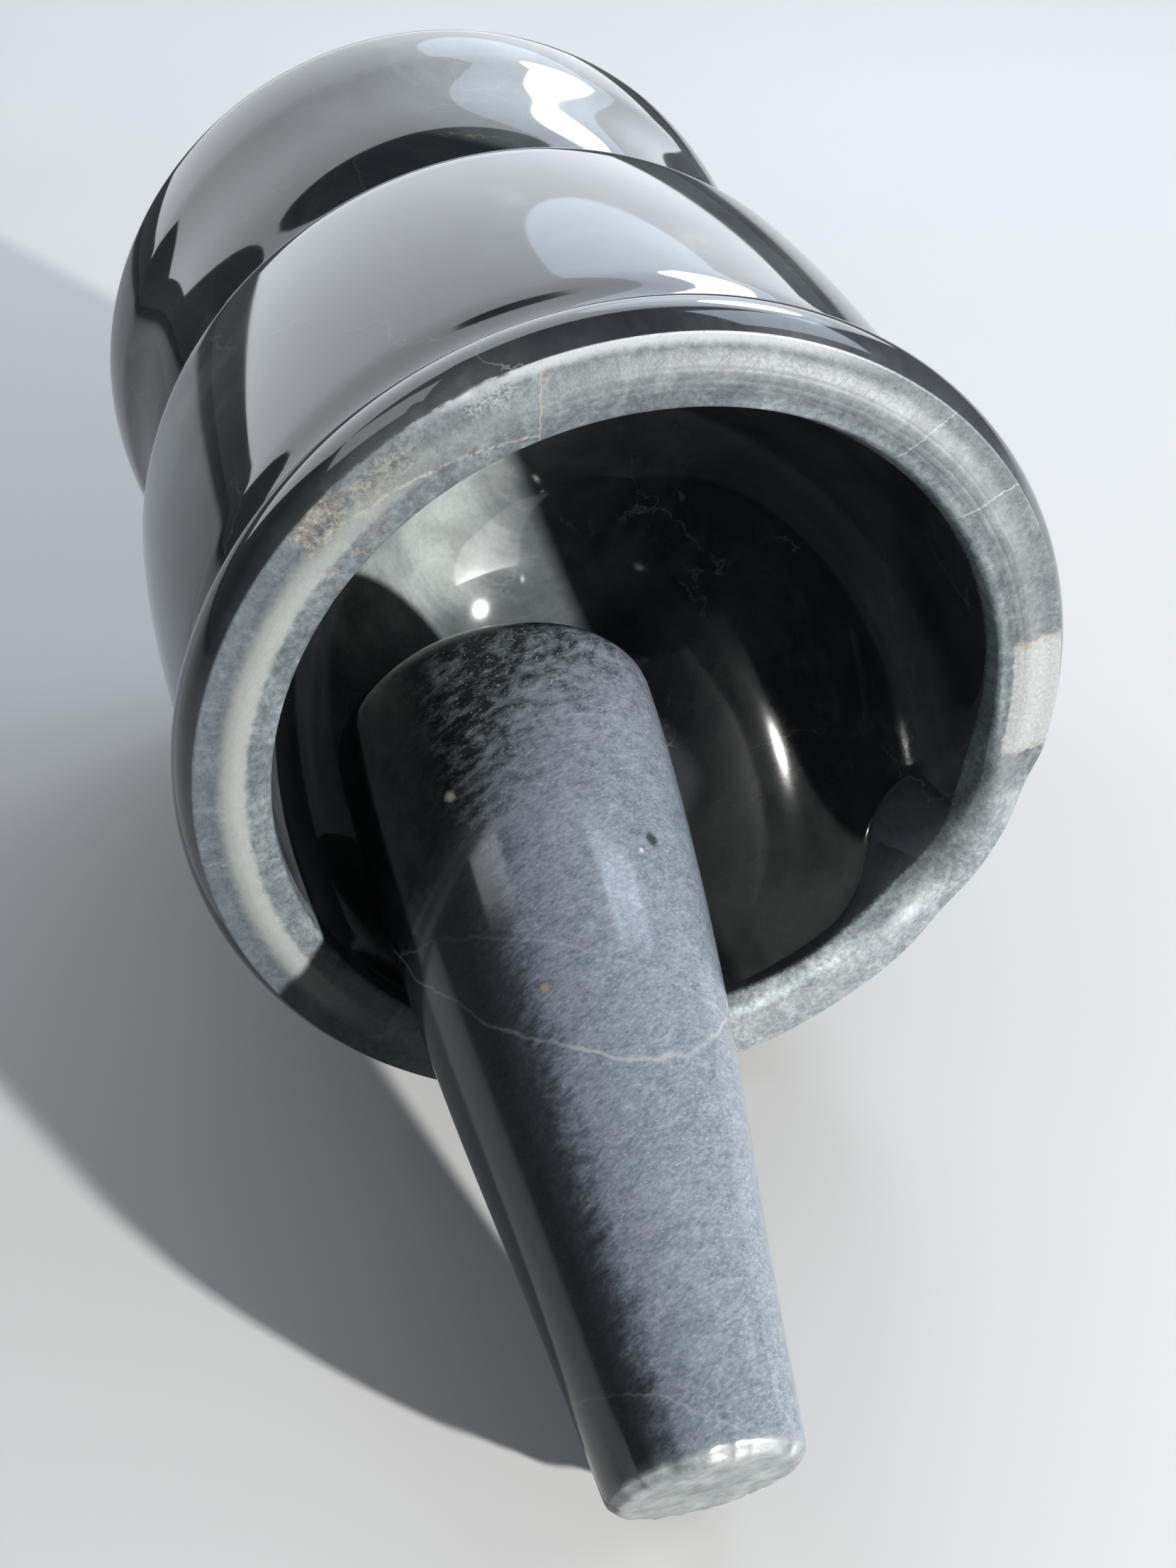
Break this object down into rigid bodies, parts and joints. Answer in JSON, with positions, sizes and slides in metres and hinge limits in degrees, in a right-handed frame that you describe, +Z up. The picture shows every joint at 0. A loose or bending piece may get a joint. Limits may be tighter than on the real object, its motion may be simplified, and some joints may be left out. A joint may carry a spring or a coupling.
{
  "type": "mortar and pestle with pour spout",
  "caption": "Turned black stone mortar with a pour spout, lying on its side with its tapered stone pestle resting in the mouth.",
  "frame": {"origin": "On the resting surface, under the middle of the pair's box, with the mortar on its side and the pestle in its mouth", "axes": "+Z up from the resting surface; +Y along the mortar's level axis from its mouth to its foot; +X to the right when looking from the mouth towards the foot"},
  "size_m": [0.102, 0.1776, 0.102],
  "materials": {
    "mortar_stone": "polished",
    "pestle_stone": "polished"
  },
  "bodies": {
    "mortar": {"mortar": "mortar_stone"},
    "pestle": {"pestle": "pestle_stone"}
  },
  "joints": [
    {"name": "pestle_slide", "type": "slide", "parent": "mortar", "child": "pestle", "axis": [0, -1, 0], "range_m": [0, 0.06]}
  ]
}
